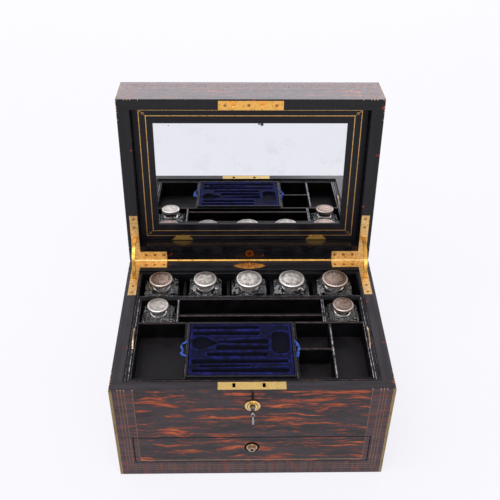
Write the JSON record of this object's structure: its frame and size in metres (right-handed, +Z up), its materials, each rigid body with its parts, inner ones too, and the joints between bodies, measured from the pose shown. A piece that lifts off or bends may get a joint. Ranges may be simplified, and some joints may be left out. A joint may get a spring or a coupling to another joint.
{
  "type": "fitted dressing box",
  "caption": "Veneered dressing box with a hinged mirror lid, a lift-out tray with a velvet manicure board, glass jars with silver lids and a locking front drawer.",
  "frame": {"origin": "centre of the base's underside", "axes": "+Z up, +X to the right as seen from the front, the drawer and key face -Y, the lid is hinged at +Y and stored open"},
  "size_m": [0.305, 0.316, 0.3613],
  "materials": {
    "veneer": "french polished coromandel",
    "carcass_wood": "stained mahogany",
    "black_leather": "smooth, worn at the edges",
    "brass": "lacquered",
    "steel": "dull",
    "velvet": "royal blue pile",
    "ribbon": "silk",
    "mirror": "silvered plate, foxed",
    "cut_glass": "clear, polished facets",
    "silver": "engraved silver, a little tarnished"
  },
  "bodies": {
    "base": {"base_front": "veneer", "base_sides": "veneer", "base_back": "veneer", "hinge_rail": "carcass_wood", "base_bottom": "carcass_wood", "drawer_divider": "carcass_wood", "drawer_runners": "carcass_wood", "base_lining": "black_leather", "jar_rack": "black_leather", "base_corner_strips": "brass", "hinge_bead": "brass", "base_hinge_leaves": "brass", "hinge_fasteners": "brass", "pin_plate": "brass", "box_lock": "brass", "upper_escutcheon": "brass"},
    "lid": {"lid_top": "veneer", "lid_front_wall": "veneer", "lid_side_walls": "veneer", "lid_back_wall": "veneer", "lid_lining": "black_leather", "lid_corner_strips": "brass", "strike_plate": "brass", "lid_screws": "brass", "peg_socket": "brass", "lid_hinge_leaves": "brass", "quadrant_arms": "brass"},
    "mirror_panel": {"mirror_frame": "black_leather", "mirror_glass": "mirror", "mirror_back": "carcass_wood", "mirror_pulls": "brass"},
    "drawer": {"drawer_front": "veneer", "drawer_box": "carcass_wood", "drawer_bottom": "carcass_wood", "drawer_lock": "brass", "lower_escutcheon": "brass"},
    "drawer_bolt": {"drawer_bolt": "steel"},
    "key": {"key": "steel"},
    "lock_bolt": {"lock_bolt": "steel"},
    "tray": {"tray_bottom": "black_leather", "tray_walls": "black_leather", "tray_partitions": "black_leather", "tray_tabs": "brass"},
    "board": {"manicure_board": "black_leather", "velvet_pad": "velvet", "ribbon_pulls": "ribbon"},
    "jar_tall_1": {"jar_tall_1": "cut_glass"},
    "jar_lid_tall_1": {"jar_lid_tall_1": "silver"},
    "jar_tall_2": {"jar_tall_2": "cut_glass"},
    "jar_lid_tall_2": {"jar_lid_tall_2": "silver"},
    "jar_tall_3": {"jar_tall_3": "cut_glass"},
    "jar_lid_tall_3": {"jar_lid_tall_3": "silver"},
    "jar_tall_4": {"jar_tall_4": "cut_glass"},
    "jar_lid_tall_4": {"jar_lid_tall_4": "silver"},
    "jar_tall_5": {"jar_tall_5": "cut_glass"},
    "jar_lid_tall_5": {"jar_lid_tall_5": "silver"},
    "jar_small_left": {"jar_small_left": "cut_glass"},
    "jar_lid_small_left": {"jar_lid_small_left": "silver"},
    "jar_small_right": {"jar_small_right": "cut_glass"},
    "jar_lid_small_right": {"jar_lid_small_right": "silver"}
  },
  "joints": [
    {"name": "lid_hinge", "type": "hinge", "parent": "base", "child": "lid", "pos_m": [0, 0.1065, 0.14415], "axis": [-1, 0, 0], "range_deg": [-95, 0]},
    {"name": "mirror_pull", "type": "slide", "parent": "lid", "child": "mirror_panel", "axis": [0, -0.9962, 0.0872], "range_m": [0, 0.028]},
    {"name": "key_turn", "type": "hinge", "parent": "base", "child": "key", "pos_m": [0, -0.12, 0.12], "axis": [0, 1, 0], "range_deg": [0, 180]},
    {"name": "lock_bolt_slide", "type": "slide", "parent": "base", "child": "lock_bolt", "axis": [1, 0, 0], "range_m": [0, 0.0045]},
    {"name": "drawer_slide", "type": "slide", "parent": "base", "child": "drawer", "axis": [0, -1, 0], "range_m": [0, 0.15]},
    {"name": "drawer_bolt_slide", "type": "slide", "parent": "drawer", "child": "drawer_bolt", "axis": [0, 0, 1], "range_m": [0, 0.0045]},
    {"name": "tray_lift", "type": "slide", "parent": "base", "child": "tray", "axis": [0, 0, 1], "range_m": [0, 0.045]},
    {"name": "board_lift", "type": "slide", "parent": "tray", "child": "board", "axis": [0, 0, 1], "range_m": [0, 0.025]},
    {"name": "jar_lift_tall_1", "type": "slide", "parent": "base", "child": "jar_tall_1", "axis": [0, 0, 1], "range_m": [0, 0.075]},
    {"name": "jar_lid_lift_tall_1", "type": "slide", "parent": "jar_tall_1", "child": "jar_lid_tall_1", "axis": [0, 0, 1], "range_m": [0, 0.016]},
    {"name": "jar_lift_tall_2", "type": "slide", "parent": "base", "child": "jar_tall_2", "axis": [0, 0, 1], "range_m": [0, 0.075]},
    {"name": "jar_lid_lift_tall_2", "type": "slide", "parent": "jar_tall_2", "child": "jar_lid_tall_2", "axis": [0, 0, 1], "range_m": [0, 0.016]},
    {"name": "jar_lift_tall_3", "type": "slide", "parent": "base", "child": "jar_tall_3", "axis": [0, 0, 1], "range_m": [0, 0.075]},
    {"name": "jar_lid_lift_tall_3", "type": "slide", "parent": "jar_tall_3", "child": "jar_lid_tall_3", "axis": [0, 0, 1], "range_m": [0, 0.016]},
    {"name": "jar_lift_tall_4", "type": "slide", "parent": "base", "child": "jar_tall_4", "axis": [0, 0, 1], "range_m": [0, 0.075]},
    {"name": "jar_lid_lift_tall_4", "type": "slide", "parent": "jar_tall_4", "child": "jar_lid_tall_4", "axis": [0, 0, 1], "range_m": [0, 0.016]},
    {"name": "jar_lift_tall_5", "type": "slide", "parent": "base", "child": "jar_tall_5", "axis": [0, 0, 1], "range_m": [0, 0.075]},
    {"name": "jar_lid_lift_tall_5", "type": "slide", "parent": "jar_tall_5", "child": "jar_lid_tall_5", "axis": [0, 0, 1], "range_m": [0, 0.016]},
    {"name": "jar_lift_small_left", "type": "slide", "parent": "tray", "child": "jar_small_left", "axis": [0, 0, 1], "range_m": [0, 0.03]},
    {"name": "jar_lid_lift_small_left", "type": "slide", "parent": "jar_small_left", "child": "jar_lid_small_left", "axis": [0, 0, 1], "range_m": [0, 0.016]},
    {"name": "jar_lift_small_right", "type": "slide", "parent": "tray", "child": "jar_small_right", "axis": [0, 0, 1], "range_m": [0, 0.03]},
    {"name": "jar_lid_lift_small_right", "type": "slide", "parent": "jar_small_right", "child": "jar_lid_small_right", "axis": [0, 0, 1], "range_m": [0, 0.016]}
  ],
  "couplings": [
    {"joint": "key_turn", "follows": "lock_bolt_slide", "rad_per_m": 698.13}
  ]
}
